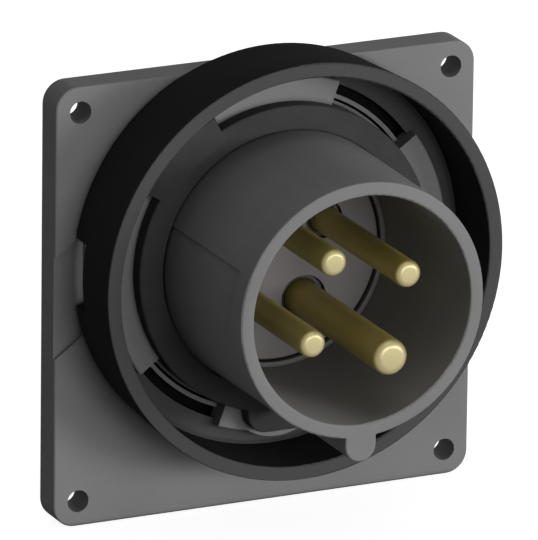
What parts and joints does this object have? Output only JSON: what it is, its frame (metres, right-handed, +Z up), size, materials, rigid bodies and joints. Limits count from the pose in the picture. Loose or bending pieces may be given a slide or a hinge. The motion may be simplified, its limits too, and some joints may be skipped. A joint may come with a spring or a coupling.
{
  "type": "panel power inlet",
  "caption": "Square-flanged panel inlet with round keyed shroud, brass pins, black gasket, turning locking ring and screw terminals behind.",
  "frame": {"origin": "centre of the fixing hole pattern, on the flange's rear face", "axes": "+Z up, front of the inlet faces -Y, +X to the right of a viewer at the front"},
  "size_m": [0.0994, 0.088, 0.1053],
  "materials": {
    "housing_grey": "fine satin grey moulding",
    "ring_black": "satin black moulding",
    "gasket_black": "soft matt black",
    "carrier_grey": "dull dark grey moulding",
    "pin_brass": "turned, bright",
    "cage_steel": "zinc plated",
    "screw_steel": "zinc plated"
  },
  "bodies": {
    "housing": {"flange_housing": "housing_grey", "shroud_gasket": "gasket_black", "panel_gasket": "gasket_black", "contact_carrier": "carrier_grey", "terminal_block": "carrier_grey", "carrier_seal": "gasket_black", "carrier_screws": "screw_steel", "phase_pin_1": "pin_brass", "phase_pin_2": "pin_brass", "phase_pin_3": "pin_brass", "earth_pin": "pin_brass"},
    "ring": {"locking_ring": "ring_black"},
    "phase_screw_1_body": {"phase_screw_1": "screw_steel"},
    "phase_cage_1_body": {"phase_cage_1": "cage_steel"},
    "phase_screw_2_body": {"phase_screw_2": "screw_steel"},
    "phase_cage_2_body": {"phase_cage_2": "cage_steel"},
    "phase_screw_3_body": {"phase_screw_3": "screw_steel"},
    "phase_cage_3_body": {"phase_cage_3": "cage_steel"},
    "earth_screw_body": {"earth_screw": "screw_steel"},
    "earth_cage_body": {"earth_cage": "cage_steel"}
  },
  "joints": [
    {"name": "ring_turn", "type": "hinge", "parent": "housing", "child": "ring", "pos_m": [0, 0, 0.0087], "axis": [0, 1, 0], "range_deg": [0, 45]},
    {"name": "phase_screw_1_turn", "type": "hinge", "parent": "housing", "child": "phase_screw_1_body", "pos_m": [0.01113, 0.018, 0.01512], "axis": [0.866, 0, 0.5], "range_deg": [0, 2057.14]},
    {"name": "phase_cage_1_lift", "type": "slide", "parent": "housing", "child": "phase_cage_1_body", "axis": [0.866, 0, 0.5], "range_m": [0, 0.004]},
    {"name": "phase_screw_2_turn", "type": "hinge", "parent": "housing", "child": "phase_screw_2_body", "pos_m": [-0.00643, 0.018, 0.01983], "axis": [-0.5, 0, 0.866], "range_deg": [0, 2057.14]},
    {"name": "phase_cage_2_lift", "type": "slide", "parent": "housing", "child": "phase_cage_2_body", "axis": [-0.5, 0, 0.866], "range_m": [0, 0.004]},
    {"name": "phase_screw_3_turn", "type": "hinge", "parent": "housing", "child": "phase_screw_3_body", "pos_m": [-0.01113, 0.018, 0.00228], "axis": [-0.866, 0, -0.5], "range_deg": [0, 2057.14]},
    {"name": "phase_cage_3_lift", "type": "slide", "parent": "housing", "child": "phase_cage_3_body", "axis": [-0.866, 0, -0.5], "range_m": [0, 0.004]},
    {"name": "earth_screw_turn", "type": "hinge", "parent": "housing", "child": "earth_screw_body", "pos_m": [0.00643, 0.018, -0.00243], "axis": [0.5, 0, -0.866], "range_deg": [0, 2057.14]},
    {"name": "earth_cage_lift", "type": "slide", "parent": "housing", "child": "earth_cage_body", "axis": [0.5, 0, -0.866], "range_m": [0, 0.004]}
  ],
  "couplings": [
    {"joint": "phase_screw_1_turn", "follows": "phase_cage_1_lift", "rad_per_m": 8976},
    {"joint": "phase_screw_2_turn", "follows": "phase_cage_2_lift", "rad_per_m": 8976},
    {"joint": "phase_screw_3_turn", "follows": "phase_cage_3_lift", "rad_per_m": 8976},
    {"joint": "earth_screw_turn", "follows": "earth_cage_lift", "rad_per_m": 8976}
  ]
}
